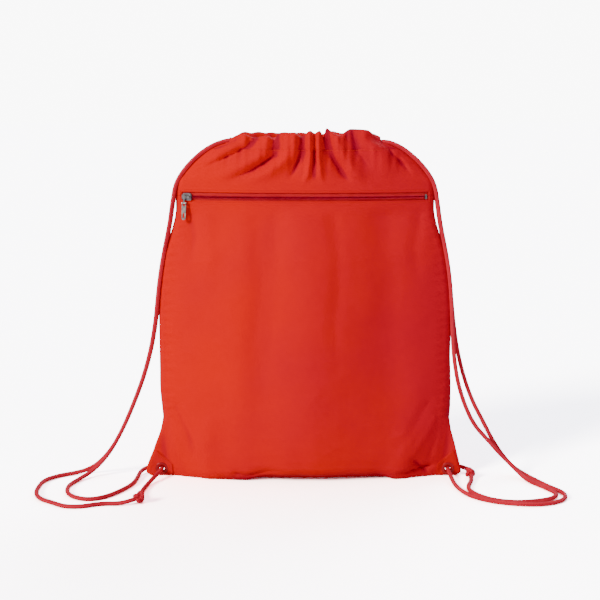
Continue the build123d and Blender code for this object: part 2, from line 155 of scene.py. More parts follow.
# Soft folds of the pocket below the zip.
POCKET_FOLDS = [
    (5.0, 40.0, [(2, 336), (10, 200), (4, 60), (0, -60)]),
    (-5.0, 30.0, [(90, 336), (96, 210), (100, 100), (100, 20)]),
    (2.0, 22.0, [(-70, 320), (-84, 210), (-78, 80), (-70, -20)]),
    (-2.4, 18.0, [(-36, 330), (-40, 240), (-52, 140), (-50, 30)]),
    (3.0, 13.0, [(-118, 0), (-121, 44), (-112, 96)]),
    (3.2, 14.0, [(118, 0), (122, 40), (128, 88)]),
    (-6.5, 3.2, [(160, 15), (142, 11), (124, 8), (104, 5)]),
    (-4.0, 3.0, [(152, 4), (138, 18), (126, 30)]),
    (-4.5, 3.0, [(-84, 10), (-68, 7), (-44, 9), (-20, 10)]),
    (-1.8, 7.0, [(-140, 336), (-133, 300), (-138, 252)]),
    (1.4, 9.0, [(-118, 322), (-112, 280), (-120, 220)]),
    (-1.5, 9.0, [(33, 322), (40, 262), (34, 190), (42, 120)]),
    (1.7, 16.0, [(70, 318), (78, 250), (72, 170)]),
    (-1.7, 8.0, [(139, 330), (130, 286), (138, 230)]),
    (-1.3, 10.0, [(-60, 316), (-52, 244), (-62, 170), (-50, 96)]),
    (-1.4, 6.0, [(150, 96), (128, 60), (104, 34)]),
    (1.4, 6.0, [(158, 74), (140, 44), (124, 18)]),
    (-1.5, 5.0, [(-158, 90), (-142, 56), (-132, 20)]),
    (-1.2, 5.0, [(168, 62), (156, 34), (150, 12)]),
    (1.2, 5.0, [(-168, 66), (-156, 40), (-150, 10)]),
]
BACK_FOLD_COUNT = 26
FOLD_SEED = 7

# Ragged upper edge of the hem: x and rise above or below HEM_TOP.
HEM_RISE = [(-100, -4), (-73, -1), (-60, -5), (-44, -3), (-36, -7), (-31, -1), (-12, 1), (-4, -4), (6, 3),
            (11, 0), (17, 3), (22, -5), (25, 6), (31, 2), (40, -2), (54, 5), (72, 4), (82, -1), (100, -5)]

# Zip, from the centre of its curve.
ZIP_CENTRE = 430.5
COIL_RADIUS = 462.2
COIL_PITCH = 1.45
COIL_START = -144.8
COIL_END = 142.3
COIL_OFFSET = 1.24      # each row's centre above or below the middle of the zip
COIL_HALF_HEIGHT = 0.85
COIL_HALF_DEPTH = 0.65
COIL_WIRE = 0.33        # radius of the coil's filament
TAPE_RADIUS = 461.2

STITCH_LENGTH = 2.3
STITCH_PITCH = 3.1
THREAD = 0.27           # radius of the sewing thread

# Eyelets: radius and place through the cloth, front first.
EYELET_PROFILE = [(3.3, -2.2), (3.45, -2.8), (4.0, -3.15), (5.0, -3.3), (6.1, -3.28), (7.2, -3.1),
                  (7.85, -2.8), (8.0, -2.55), (7.7, -2.45), (4.75, -2.45), (4.6, -2.2), (4.6, 2.3),
                  (5.1, 3.2), (4.5, 3.35), (3.6, 3.1), (3.3, 2.4)]
WASHER_PROFILE = [(5.3, 2.5), (7.8, 2.5), (8.0, 2.7), (7.8, 3.05), (7.0, 3.3), (6.0, 3.35), (5.3, 3.2)]

# Cords, in metres.
CORD = 0.0054
CORD_RING = 0.0008      # spacing of the rings of the cord's surface
CORD_SIDES = 18
KNOT_PULL = 0.92        # a knot's cord is pulled this much thinner
KNOT_STEPS = 96
# Scale of each knot's line, and its turn in radians.
LEFT_KNOT = (0.00176, 0.4)
RIGHT_KNOT = (0.00152, 1.3)
BRAID_CARRIERS = 3      # strands that wind each way
BRAID_LAY = 0.010
BRAID_RELIEF = 0.07     # relief of the strands, as a fraction of the radius
# Each route, in millimetres, goes out of the eyelet and over the floor, up one leg to the far end of the
# hem, down the leg's mirror image, and home over the floor.
LEFT_CORD_OUT = [
    (-177, -0.2, 9.5), (-177, -8, 9.5), (-181, -21, 7.8), (-188, -40, 3.4), (-192, -64, 2.7),
    (-192.5, -88, 3), (-190.5, -106, 6.5), (-197, -117, 6), (-213, -121, 2.7), (-234, -120, 2.7),
    (-255, -132, 2.7), (-275, -131, 2.7), (-290, -117, 2.7), (-307, -104, 2.7), (-317, -82, 2.7),
    (-319, -54, 2.7), (-317, -28, 2.7), (-302, -9, 2.7), (-286, 1, 2.6), (-271, 5, 5.5), (-256, 5, 14),
]
LEFT_CORD_LEG = [
    (-239, 4.5, 33), (-224, 4.5, 60), (-210, 4.5, 92), (-197, 4.5, 126), (-187, 4.5, 162), (-181, 4.5, 197),
    (-178, 4.5, 227), (-174, 4.5, 257), (-168.5, 4.5, 285), (-162.5, 4.5, 312), (-158.5, 4.5, 340),
    (-154.5, 4.5, 362), (-142.5, 4.5, 380), (-128, 4.5, 394.5), (-112.5, 4.5, 405.5), (-97, 4.5, 411.5),
    (-84, 5.5, 413.2), (-70, 12, 413.5), (-50, 17.5, 413.5), (-25, 20, 413.5), (0, 20.6, 413.5),
    (25, 20, 413.5), (48, 17.8, 413.5), (66.2, 15, 413.5), (75, 6.2, 413.5),
]
LEFT_CORD_HOME = [
    (-254, -6, 15), (-267, -11, 5), (-277, -29, 2.7), (-284, -52, 2.7), (-281, -79, 2.7), (-268, -99, 2.7),
    (-248, -106, 2.7), (-231, -94, 2.7), (-217, -70, 2.7), (-207, -44, 2.7), (-205, -18, 2.8),
    (-204, 4, 4.5), (-195, 15, 7), (-183, 16, 8.8), (-177, 9, 9.5), (-177, 0.2, 9.5),
]
RIGHT_CORD_OUT = [
    (177, -0.2, 9.5), (177, -9, 9.5), (178, -26, 6), (180, -46, 2.8), (184, -68, 2.7), (191, -88, 2.7),
    (205, -105, 2.7), (224, -117, 2.7), (248, -123.5, 2.7), (272, -124, 2.7), (292, -114, 2.7),
    (304, -98, 2.7), (304, -77, 2.7), (292, -56, 2.7), (281, -30, 2.7), (271, -8, 3.6), (258, 1.4, 10.4),
    (244.8, 3.4, 24.8), (231.8, 3.8, 44.6), (220, 4.5, 68), (206, 4.5, 94), (194, 4.5, 127),
    (186, 4.5, 160), (181, 4.5, 195), (178, 4.5, 225),
]
RIGHT_CORD_LEG = [
    (174, 4.5, 255), (168.5, 4.5, 285), (162.5, 4.5, 312), (158.5, 4.5, 340), (154.5, 4.5, 362),
    (142.5, 4.5, 380), (128, 4.5, 394.5), (113, 4.5, 405.3), (98, 4.5, 411.2), (84, 5.5, 409.6),
    (70, 12, 407.6), (50, 17.5, 407), (25, 20, 407), (0, 20.6, 407), (-25, 20, 407), (-48, 17.8, 407),
    (-66.2, 15, 407), (-75, 6.2, 407),
]
RIGHT_CORD_HOME = [
    (177.5, -4.5, 220), (179, -4.5, 185), (181.5, -4.5, 150), (187, -4.5, 118), (196, -4.5, 90),
    (208, -4.5, 65), (224.5, -3.5, 47.2), (238.8, -3.5, 30.8), (252.2, -5, 17.5), (264.2, -12.5, 6.2),
    (271, -32, 2.7), (286, -58, 2.7), (297.2, -85, 2.7), (285.5, -103.5, 2.7), (262, -113, 2.7),
    (240, -115.5, 2.7), (218, -108, 2.7), (203, -91, 2.7), (194, -70, 2.7), (196, -50, 2.7),
    (202, -33, 2.7), (204, -17, 4.8), (206.5, -4, 5.2), (205, 8, 5), (195, 16.5, 6.8), (183, 16, 8.8),
    (177, 9, 9.5), (177, 0.2, 9.5),
]


# ---------------------------------------------------------------- small helpers

def smooth_step(low, high, value):
    """0 below low, 1 above high, and an even S between them."""
    t = min(1.0, max(0.0, (value - low) / (high - low)))
    return t * t * (3 - 2 * t)


def ease_through(rows, value):
    """The other columns of rows at this first column, along a curve that never overshoots."""
    if value <= rows[0][0]:
        return rows[0][1:]
    if value >= rows[-1][0]:
        return rows[-1][1:]
    k = max(i for i in range(len(rows) - 1) if rows[i][0] <= value)
    step = rows[k + 1][0] - rows[k][0]
    t = (value - rows[k][0]) / step
    result = []
    for column in range(1, len(rows[0])):
        slope = [(b[column] - a[column]) / (b[0] - a[0]) for a, b in zip(rows, rows[1:])]
        ends = []
        for i in (k, k + 1):
            before = slope[max(0, i - 1)]
            after = slope[min(len(slope) - 1, i)]
            ends.append(0.0 if before * after <= 0 else 2 * before * after / (before + after))
        a = rows[k][column]
        b = rows[k + 1][column]
        result.append(a * (1 + 2 * t) * (1 - t) ** 2 + b * t * t * (3 - 2 * t)
                      + step * (ends[0] * t * (1 - t) ** 2 - ends[1] * t * t * (1 - t)))
    return tuple(result)


def noise_at(x, z, size, seed):
    """Smooth noise from about -1 to 1 with features of this size."""
    return noise.noise(Vector((x / size, z / size, seed * 7.31)))


def ripple(distance, pitch, start=0.0):
    """A sine wave of this pitch."""
    return math.sin(distance * 2 * math.pi / pitch + start)


def distance_to_line(x, z, line):
    """Distance to a line of points, and how far along it, from 0 to 1, the nearest place is."""
    nearest = (1e9, 0.0)
    runs = len(line) - 1
    for i in range(runs):
        ax, az = line[i]
        bx, bz = line[i + 1]
        length_squared = (bx - ax) ** 2 + (bz - az) ** 2
        t = min(1.0, max(0.0, ((x - ax) * (bx - ax) + (z - az) * (bz - az)) / length_squared))
        away = math.hypot(x - ax - t * (bx - ax), z - az - t * (bz - az))
        nearest = min(nearest, (away, (i + t) / runs))
    return nearest


def fold_height(x, z, folds):
    """Sum of the folds' rise here; each is widest and highest at its first point and dies away."""
    height = 0.0
    for rise, width, line in folds:
        away, along = distance_to_line(x, z, line)
        if away < 4 * width:
            sharp = rise < 0 and width < 5
            shape = math.exp(-away / width) if sharp else math.exp(-(away / width) ** 2)
            height += rise * shape * (1 - smooth_step(0.55, 1.0, along))
    return height


def lengths_along(points):
    """How far along a line each of its points is."""
    lengths = [0.0]
    for a, b in zip(points, points[1:]):
        lengths.append(lengths[-1] + (Vector(b) - Vector(a)).length)
    return lengths


def add_object(name, data):
    """A new object in the scene."""
    made = bpy.data.objects.new(name, data)
    bpy.context.collection.objects.link(made)
    return made


def build_mesh(name, points, faces, material, uvs=None, crease_shade=None):
    """A mesh object of these points in millimetres, riding on the bag's body."""
    mesh = bpy.data.meshes.new(name)
    mesh.from_pydata([Vector(p) * METRE for p in points], [], faces)
    # Painted crease shade, one value a point, for the cloth's material.
    if crease_shade:
        layer = mesh.attributes.new(name="painted_crease_shade", type="FLOAT", domain="POINT")
        layer.data.foreach_set("value", crease_shade)
    if uvs:
        layer = mesh.uv_layers.new(name="UVMap")
        for loop in mesh.loops:
            layer.data[loop.index].uv = uvs[loop.vertex_index]
    mesh.polygons.foreach_set("use_smooth", [True] * len(mesh.polygons))
    mesh.materials.append(material)
    mesh.validate()
    piece = add_object(name, mesh)
    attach(piece, "bag")
    return piece


def grid_faces(rows, columns, flip=False, keep=None):
    """Quads of a grid of points stored row by row."""
    faces = []
    for r in range(rows - 1):
        for c in range(columns - 1):
            if keep and not keep(r, c):
                continue
            a = r * columns + c
            face = (a, a + 1, a + columns + 1, a + columns)
            faces.append(face[::-1] if flip else face)
    return faces


def ring_faces(rings, sides, flip=False, joined=False):
    """Quads between rings of points; joined also joins the last ring to the first."""
    faces = []
    for i in range(rings if joined else rings - 1):
        near = i * sides
        far = (i + 1) % rings * sides
        for k in range(sides):
            after = (k + 1) % sides
            face = (near + k, near + after, far + after, far + k)
            faces.append(face[::-1] if flip else face)
    return faces


def soften(piece):
    """Rounds a piece off with one level of subdivision."""
    smoothing = piece.modifiers.new("soften", "SUBSURF")
    smoothing.levels = 1
    smoothing.render_levels = 1


def thicken(piece, thickness):
    """Gives a sheet its thickness, inwards from the face that shows."""
    solid = piece.modifiers.new("thickness", "SOLIDIFY")
    solid.thickness = thickness * METRE
    solid.offset = -1.0
    return piece


# ---------------------------------------------------------------- materials

def add_node(tree, kind, **settings):
    """A shader node with its properties and unlinked inputs set by name."""
    made = tree.nodes.new(kind)
    for name, value in settings.items():
        if name in made.inputs:
            made.inputs[name].default_value = value
        else:
            setattr(made, name, value)
    return made


def new_material(name, **settings):
    """A material, its node tree and its Principled shader with these inputs set."""
    material = bpy.data.materials.new(name)
    material.use_nodes = True
    shader = material.node_tree.nodes["Principled BSDF"]
    for key, value in settings.items():
        shader.inputs[key.replace("_", " ")].default_value = value
    return material, material.node_tree, shader


def colour_from(tree, factor, stops):
    """A colour ramp over a factor, from (place, colour) pairs."""
    ramp = tree.nodes.new("ShaderNodeValToRGB")
    while len(ramp.color_ramp.elements) < len(stops):
        ramp.color_ramp.elements.new(0.5)
    for element, (place, colour) in zip(ramp.color_ramp.elements, stops):
        element.position = place
        element.color = (*colour, 1.0)
    tree.links.new(factor, ramp.inputs["Fac"])
    return ramp.outputs["Color"]


def paint(tree, shader, factor, stops):
    """Base colour from a ramp over a factor."""
    tree.links.new(colour_from(tree, factor, stops), shader.inputs["Base Color"])


def maths(tree, operation, first, second=None):
    """One arithmetic node on sockets or numbers."""
    made = add_node(tree, "ShaderNodeMath", operation=operation)
    for socket, value in zip(made.inputs, (first, second)):
        if isinstance(value, (int, float)):
            socket.default_value = value
        elif value is not None:
            tree.links.new(value, socket)
    return made.outputs["Value"]


def weave_height(tree, across, along, pitch):
    """A plain weave: warp and weft that pass over each other by turns."""
    wave_a = ridges_along(tree, across, pitch)
    wave_b = ridges_along(tree, along, pitch)
    crossed = maths(tree, "MULTIPLY", wave_a, wave_b)
    ridges = maths(tree, "ADD", maths(tree, "ABSOLUTE", wave_a), maths(tree, "ABSOLUTE", wave_b))
    return weighted(tree, crossed, 0.5, ridges, 0.35)


def coordinates(tree, space):
    """The shaded point in metres, in the object's own space or, for UV, along the cloth's surface."""
    return tree.nodes.new("ShaderNodeTexCoord").outputs[space]


def axes(tree, space):
    """X, Y and Z of the shaded point in a space."""
    split = tree.nodes.new("ShaderNodeSeparateXYZ")
    tree.links.new(coordinates(tree, space), split.inputs["Vector"])
    return list(split.outputs)


def weighted(tree, first, first_share, second, second_share):
    """The sum of two sockets, each times its share."""
    return maths(tree, "ADD", maths(tree, "MULTIPLY", first, first_share),
                 maths(tree, "MULTIPLY", second, second_share))


def ridges_along(tree, distance, pitch):
    """A sine wave of this pitch over a distance in metres."""
    return maths(tree, "SINE", maths(tree, "MULTIPLY", distance, 2 * math.pi / pitch))


def gloss_between(tree, shader, factor, low, high):
    """Roughness that runs from low to high with a factor."""
    gloss = add_node(tree, "ShaderNodeMapRange")
    gloss.inputs["To Min"].default_value = low
    gloss.inputs["To Max"].default_value = high
    tree.links.new(factor, gloss.inputs["Value"])
    tree.links.new(gloss.outputs["Result"], shader.inputs["Roughness"])


def place_noise(tree, scale, detail=3.0, roughness=0.55):
    """Noise over the object's own space, with features of about 1/scale metres."""
    made = add_node(tree, "ShaderNodeTexNoise", Scale=scale, Detail=detail, Roughness=roughness)
    tree.links.new(coordinates(tree, "Object"), made.inputs["Vector"])
    return made.outputs["Fac"]


def bump(tree, shader, height, distance, strength=1.0, under=None):
    """Bump on the shader's normal, over another bump if one is given."""
    made = add_node(tree, "ShaderNodeBump", Strength=strength, Distance=distance)
    tree.links.new(height, made.inputs["Height"])
    if under:
        tree.links.new(under, made.inputs["Normal"])
    tree.links.new(made.outputs["Normal"], shader.inputs["Normal"])
    return made.outputs["Normal"]


def bright_to_camera(tree, dim, bright, output, socket):
    """Shows one shader to the camera and a dimmer one to every other ray, as an overexposed studio does."""
    path = tree.nodes.new("ShaderNodeLightPath")
    mix = tree.nodes.new("ShaderNodeMixShader")
    tree.links.new(path.outputs["Is Camera Ray"], mix.inputs["Fac"])
    tree.links.new(dim, mix.inputs[1])
    tree.links.new(bright, mix.inputs[2])
    tree.links.new(mix.outputs["Shader"], output.inputs[socket])


def cloth_material(name, dark, light, pitch=0.00042, sheen=0.08, roughness=0.6):
    """Woven polyester: colour that varies softly at random, painted shade from left to right and down in
    creases, fine thread weave, crumple and sheen.
    """
    material, tree, shader = new_material(name, Roughness=roughness, Sheen_Weight=sheen, Sheen_Roughness=0.4,
                                          Specular_IOR_Level=0.05, Sheen_Tint=(1.0, 0.06, 0.10, 1.0))
    broad = place_noise(tree, 9.0, 2.0)
    fine = place_noise(tree, 420.0, 2.0, 0.7)
    # Painted shade: the colour runs from lit orange to shaded crimson from left to right, away from the key
    # light.
    painted_shade_across = maths(tree, "MULTIPLY", axes(tree, "Object")[0], PAINTED_SHADE_DRIFT)
    drift = maths(tree, "SUBTRACT", weighted(tree, broad, 0.75, fine, 0.25), painted_shade_across)
    # Painted shade: the mesh attribute darkens the cloth to crimson down in creases and along the front's
    # lower edge.
    crease = add_node(tree, "ShaderNodeAttribute", attribute_name="painted_crease_shade")
    shaded_colour = add_node(tree, "ShaderNodeMix", data_type="RGBA")
    tree.links.new(crease.outputs["Fac"], shaded_colour.inputs["Factor"])
    tree.links.new(colour_from(tree, drift, [(0.15, dark), (0.85, light)]), shaded_colour.inputs[6])
    shaded_colour.inputs[7].default_value = (*CREASE_SHADE_COLOUR, 1.0)
    tree.links.new(shaded_colour.outputs[2], shader.inputs["Base Color"])
    crumple = place_noise(tree, 60.0, 4.0, 0.6)
    soft = bump(tree, shader, crumple, 0.0016, 0.5)
    across, along = axes(tree, "UV")[:2]
    bump(tree, shader, weave_height(tree, across, along, pitch), 0.00009, 0.8, soft)
    return material


def tape_material(name):
    """Zip tape: a close twill of crimson threads, with painted shade in the twill's grooves."""
    material, tree, shader = new_material(name, Roughness=0.7, Sheen_Weight=0.1, Specular_IOR_Level=0.15,
                                          Sheen_Tint=(1.0, 0.2, 0.2, 1.0))
    x, _, z = axes(tree, "Object")
    twill = ridges_along(tree, maths(tree, "ADD", x, z), 0.0009)
    height = weighted(tree, twill, 0.6, ridges_along(tree, x, 0.0005), 0.4)
    # Painted shade: the colour follows the twill's relief, darker in its grooves, over a random tone.
    tone_and_relief_shade = maths(tree, "ADD", maths(tree, "MULTIPLY", height, 0.12), place_noise(tree, 30.0))
    paint(tree, shader, tone_and_relief_shade, [(0.3, (0.80, 0.012, 0.020)), (0.7, (0.92, 0.030, 0.024))])
    bump(tree, shader, height, 0.00012, 0.8)
    return material


def thread_material(name, dark, light, pitch, roughness=0.5):
    """Twisted filament: fine slanted ridges along the thread."""
    material, tree, shader = new_material(name, Roughness=roughness, Sheen_Weight=0.1, Specular_IOR_Level=0.2,
                                          Sheen_Tint=(1.0, 0.2, 0.2, 1.0))
    paint(tree, shader, place_noise(tree, 120.0), [(0.3, dark), (0.7, light)])
    x, y, z = axes(tree, "Object")
    slant = maths(tree, "ADD", x, maths(tree, "ADD", y, z))
    bump(tree, shader, ridges_along(tree, slant, pitch), pitch * 0.15, 0.7)
    return material


def cord_material():
    """Braided polyester cord: fine yarns that follow the strands, with painted shade in the yarns' grooves
    and between the strands.
    """
    material, tree, shader = new_material("cord_braid", Roughness=0.6, Sheen_Weight=0.15, Sheen_Roughness=0.4,
                                          Specular_IOR_Level=0.15, Sheen_Tint=(1.0, 0.2, 0.25, 1.0))
    around, along = axes(tree, "UV")[:2]
    turns = maths(tree, "MULTIPLY", around, BRAID_CARRIERS)
    lay = maths(tree, "MULTIPLY", along, BRAID_CARRIERS / BRAID_LAY)
    windings = [maths(tree, operation, turns, lay) for operation in ("ADD", "SUBTRACT")]
    yarns = [ridges_along(tree, winding, 0.25) for winding in windings]
    yarn = maths(tree, "MULTIPLY", maths(tree, "ADD", *yarns), 0.5)
    valleys = [ridges_along(tree, winding, 1.0) for winding in windings]
    shade_between_strands = maths(tree, "MULTIPLY", maths(tree, "MULTIPLY", *valleys), 0.5)
    # Painted shade: the colour darkens in the yarns' grooves and between the strands, over a random tone.
    tone_and_relief_shade = maths(tree, "ADD", maths(tree, "ADD", maths(tree, "MULTIPLY", yarn, 0.12), shade_between_strands),
                 place_noise(tree, 40.0))
    paint(tree, shader, tone_and_relief_shade,
          [(0.1, (0.50, 0.004, 0.026)), (0.5, (0.78, 0.014, 0.045)), (0.9, (0.90, 0.030, 0.060))])
    bump(tree, shader, yarn, 0.00012, 0.8)
    return material


def metal_material(name, colour, roughness, wear):
    """Plated metal: rubbed edges, faint scratches and uneven gloss."""
    material, tree, shader = new_material(name, Metallic=1.0)
    worn = place_noise(tree, 260.0, 5.0, 0.6)
    paint(tree, shader, worn, [(0.3, tuple(c * wear for c in colour)), (0.62, colour)])
    gloss_between(tree, shader, worn, roughness * 0.7, roughness * 1.35)
    bump(tree, shader, place_noise(tree, 900.0, 3.0), 0.00004, 0.5)
    return material


def lacquer_material():
    """Dark red lacquer over brass, chipped a little where it is pressed."""
    material, tree, shader = new_material("eyelet_lacquer", Metallic=0.2, Coat_Weight=0.4,
                                          Coat_Roughness=0.15, Specular_IOR_Level=0.3)
    chips = place_noise(tree, 700.0, 4.0, 0.65)
    paint(tree, shader, chips,
          [(0.0, (0.30, 0.003, 0.010)), (0.68, (0.44, 0.006, 0.014)), (0.76, (0.40, 0.10, 0.05))])
    gloss_between(tree, shader, chips, 0.22, 0.42)
    bump(tree, shader, chips, 0.00005, 0.6)
    return material


def floor_material():
    """Pale matt studio paper, overexposed to white in the picture."""
    material, tree, shader = new_material("studio_paper", Roughness=0.9, Specular_IOR_Level=0.0)
    paint(tree, shader, place_noise(tree, 6.0), [(0.2, (0.80, 0.78, 0.78)), (0.8, (0.84, 0.82, 0.82))])
    bump(tree, shader, place_noise(tree, 700.0), 0.0001, 0.2)
    bright = add_node(tree, "ShaderNodeBsdfDiffuse", Color=(PAPER_SEEN, PAPER_SEEN, PAPER_SEEN, 1.0))
    bright_to_camera(tree, shader.outputs[0], bright.outputs[0], tree.nodes["Material Output"], "Surface")
    return material


BAG_CLOTH = cloth_material("bag_cloth", (0.70, 0.003, 0.022), (0.93, 0.007, 0.0002))
PATCH_CLOTH = cloth_material("patch_cloth", (0.66, 0.003, 0.010), (0.78, 0.006, 0.012), 0.0006)
LINING_CLOTH = cloth_material("lining_cloth", (0.56, 0.004, 0.006), (0.66, 0.008, 0.006), 0.0005, 0.1, 0.7)
TAPE_TWILL = tape_material("zip_tape_twill")
THREAD_RED = thread_material("sewing_thread", (0.74, 0.006, 0.006), (0.86, 0.016, 0.006), 0.0004)
COIL_NYLON = thread_material("zip_coil_nylon", (0.62, 0.006, 0.040), (0.78, 0.012, 0.060), 0.0011, 0.35)
CORD_BRAID = cord_material()
NICKEL = metal_material("zip_nickel", (0.40, 0.36, 0.36), 0.30, 0.35)
LACQUER = lacquer_material()


# ---------------------------------------------------------------- camera, floor and light

def aim(thing, at, target):
    """Puts a camera or lamp at a point, looking at another."""
    thing.location = at
    thing.rotation_euler = (Vector(target) - Vector(at)).to_track_quat("-Z", "Y").to_euler()


def make_camera():
    camera = add_object("camera", bpy.data.cameras.new("camera"))
    camera.data.lens = CAMERA_LENS
    camera.data.sensor_width = 36.0
    aim(camera, CAMERA_AT, CAMERA_LOOKS_AT)
    bpy.context.scene.camera = camera


def sun_lamp(name, at, power, spread, colour):
    """A distant soft lamp in this direction from the object, as wide as this angle in degrees."""
    lamp = bpy.data.lights.new(name, "SUN")
    lamp.energy = power
    lamp.angle = math.radians(spread)
    lamp.color = colour
    aim(add_object(name, lamp), at, (0.0, 0.0, 0.0))


def make_light():
    """A soft key from the left front, a weak fill from the right and white surroundings."""
    sun_lamp("key", (-1.3, -1.15, 0.9), 2.9, 16, (1.0, 0.94, 0.84))
    sun_lamp("fill", (1.2, -0.9, 0.7), 0.25, 50, (1.0, 0.90, 1.0))
    sun_lamp("top", (0.1, 0.4, 1.6), 0.6, 40, (0.90, 0.95, 1.12))
    sun_lamp("back", (0.7, 1.4, 0.9), 1.1, 40, (0.95, 0.97, 1.05))
    world = bpy.data.worlds.new("studio")
    world.use_nodes = True
    tree = world.node_tree
    dim = tree.nodes["Background"]
    dim.inputs["Color"].default_value = (0.95, 0.97, 1.12, 1.0)
    dim.inputs["Strength"].default_value = WORLD_LIGHT
    bright = add_node(tree, "ShaderNodeBackground", Color=(1.0, 1.0, 1.0, 1.0), Strength=WORLD_SEEN)
    bright_to_camera(tree, dim.outputs[0], bright.outputs[0], tree.nodes["World Output"], "Surface")
    bpy.context.scene.world = world


def make_floor():
    """Pale paper on the ground, far wider than the view."""
    places = range(-PAPER_REACH, PAPER_REACH + 1, PAPER_STEP)
    rows = [[(x, y, 0.0) for x in places] for y in places]
    mesh = bpy.data.meshes.new("studio_floor")
    points = [Vector(p) * METRE for row in rows for p in row]
    mesh.from_pydata(points, [], grid_faces(len(rows), len(rows[0])))
    mesh.materials.append(floor_material())
    floor = add_object("studio_floor", mesh)


# ---------------------------------------------------------------- cords and knots

def route_points(name, control):
    """Points along the smooth line of a route's NURBS spline."""
    curve = bpy.data.curves.new(name + "_route", "CURVE")
    curve.dimensions = "3D"
    curve.resolution_u = 12
    spline = curve.splines.new("NURBS")
    spline.points.add(len(control) - 1)
    for point, place in zip(spline.points, control):
        point.co = (*place, 1.0)
    spline.order_u = 3
    spline.use_endpoint_u = True
    carrier = add_object(name + "_route", curve)
    line = bpy.data.meshes.new_from_object(carrier)
    points = [vertex.co.copy() for vertex in line.vertices]
    bpy.data.objects.remove(carrier)
    bpy.data.curves.remove(curve)
    bpy.data.meshes.remove(line)
    return points


def even_points(points, spacing):
    """The same line as evenly spaced points."""
    lengths = lengths_along(points)
    count = max(3, round(lengths[-1] / spacing))
    result = []
    k = 0
    for i in range(count + 1):
        wanted = lengths[-1] * i / count
        while k < len(points) - 2 and lengths[k + 1] < wanted:
            k += 1
        run = max(1e-9, lengths[k + 1] - lengths[k])
        result.append(points[k].lerp(points[k + 1], (wanted - lengths[k]) / run))
    return result


def tube(points, radius, sides, relief=None):
    """Rings of points round a line, capped at both ends; relief(turn, along) scales the radius."""
    rings = len(points)
    corners = []
    uvs = []
    side = (points[1] - points[0]).orthogonal().normalized()
    for i, (point, along) in enumerate(zip(points, lengths_along(points))):
        before = points[max(0, i - 1)]
        after = points[min(rings - 1, i + 1)]
        direction = (after - before).normalized()
        side = (side - direction * side.dot(direction)).normalized()
        other = direction.cross(side)
        for k in range(sides):
            turn = k / sides
            reach = radius * (relief(turn, along) if relief else 1.0)
            angle = 2 * math.pi * turn
            corners.append(point + side * (reach * math.cos(angle)) + other * (reach * math.sin(angle)))
            uvs.append((turn, along))
    faces = ring_faces(rings, sides)
    faces.append(tuple(range(sides))[::-1])
    faces.append(tuple((rings - 1) * sides + k for k in range(sides)))
    return corners, faces, uvs


def braid_relief(turn, along):
    """Strands that wind both ways round a cord, over and under."""
    right = math.sin(2 * math.pi * BRAID_CARRIERS * (turn + along / BRAID_LAY))
    left = math.sin(2 * math.pi * BRAID_CARRIERS * (turn - along / BRAID_LAY))
    return 1.0 - BRAID_RELIEF * (0.5 - 0.5 * right * left)


def braided(name, points, radius):
    """A braided cord round a line of points in metres."""
    corners, faces, uvs = tube(points, radius, CORD_SIDES, braid_relief)
    return build_mesh(name, [c / METRE for c in corners], faces, CORD_BRAID, uvs)


def knot_line(centre, scale, turn):
    """The line of a tight overhand knot about a centre."""
    line = []
    for i in range(KNOT_STEPS + 1):
        t = 2 * math.pi * i / KNOT_STEPS
        x = math.sin(t) + 2 * math.sin(2 * t)
        y = math.cos(t) - 2 * math.cos(2 * t)
        z = -1.9 * math.sin(3 * t)
        spot = Vector((x * math.cos(turn) - y * math.sin(turn), z, x * math.sin(turn) + y * math.cos(turn)))
        line.append(Vector(centre) + spot * scale)
    return line


def make_cord(side_name, out, leg, home, knot_scale, turn):
    """A drawcord along its route and its knot, which take the place of the hidden CAD parts."""
    route = out + leg + [(x, -y, z) for x, y, z in reversed(leg)] + home
    control = [tuple(round(value * METRE, 7) for value in point) for point in route]
    points = even_points(route_points("drawcord_" + side_name, control), CORD_RING)
    cord = braided("drawcord_braid_" + side_name, points, CORD / 2)
    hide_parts("drawcord_" + side_name)
    low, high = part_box("knot_" + side_name)
    centre = [(a + b) / 2 for a, b in zip(low, high)]
    centre[2] = max(centre[2], 3 * knot_scale + CORD / 2)
    knot = braided("knot_tied_" + side_name, knot_line(centre, knot_scale, turn), CORD / 2 * KNOT_PULL)
    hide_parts("knot_" + side_name)


# ---------------------------------------------------------------- cloth surfaces

def section(x, z):
    """The sack's section at this height, on the side where x is."""
    return section_of(round(z, 3), x > 0)


@functools.lru_cache(maxsize=None)
def section_of(z, right):
    """Half width, half depth, side depth, outer half width and edge rounding at a height."""
    half_width, depth, side_depth = ease_through(SACK, z)
    if z < EARS[-1][0]:
        outer, rounding = ease_through(EARS, z)
        outer += ease_through(BULGE_RIGHT if right else BULGE_LEFT, z)[0]
    else:
        reach = ease_through(SIDE_REACH, z)[0]
        reach += ease_through(BULGE_RIGHT if right else BULGE_LEFT, z)[0]
        outer, rounding = half_width + reach, reach + EDGE_START
    return half_width, depth, side_depth, outer, rounding


def arc_depth(x, half_width, depth, side_depth):
    """Depth of the shallow arc through the middle and both sides of a section."""
    centre = (half_width ** 2 + side_depth ** 2 - depth ** 2) / (2 * (depth - side_depth))
    reach = min(abs(x), half_width)
    return math.sqrt((centre + depth) ** 2 - reach ** 2) - centre


def cloth_depth(x, z):
    """How far the smooth cloth stands from the side seams' plane."""
    half_width, depth, side_depth, outer, rounding = section(x, z)
    body = arc_depth(x, half_width, depth, side_depth)
    ear = smooth_step(half_width - 3, half_width + 11, abs(x))
    body = body * (1 - ear) + EAR_HALF * ear
    past = (abs(x) - (outer - rounding)) / rounding
    if past > 0:
        body *= math.sqrt(max(0.0, 1 - past * past))
    return body


def away_from_zip(z):
    """0 where the cloth must lie on the zip's tape, 1 well above and below it."""
    return smooth_step(9.0, 26.0, abs(z - ZIP_HEIGHT))


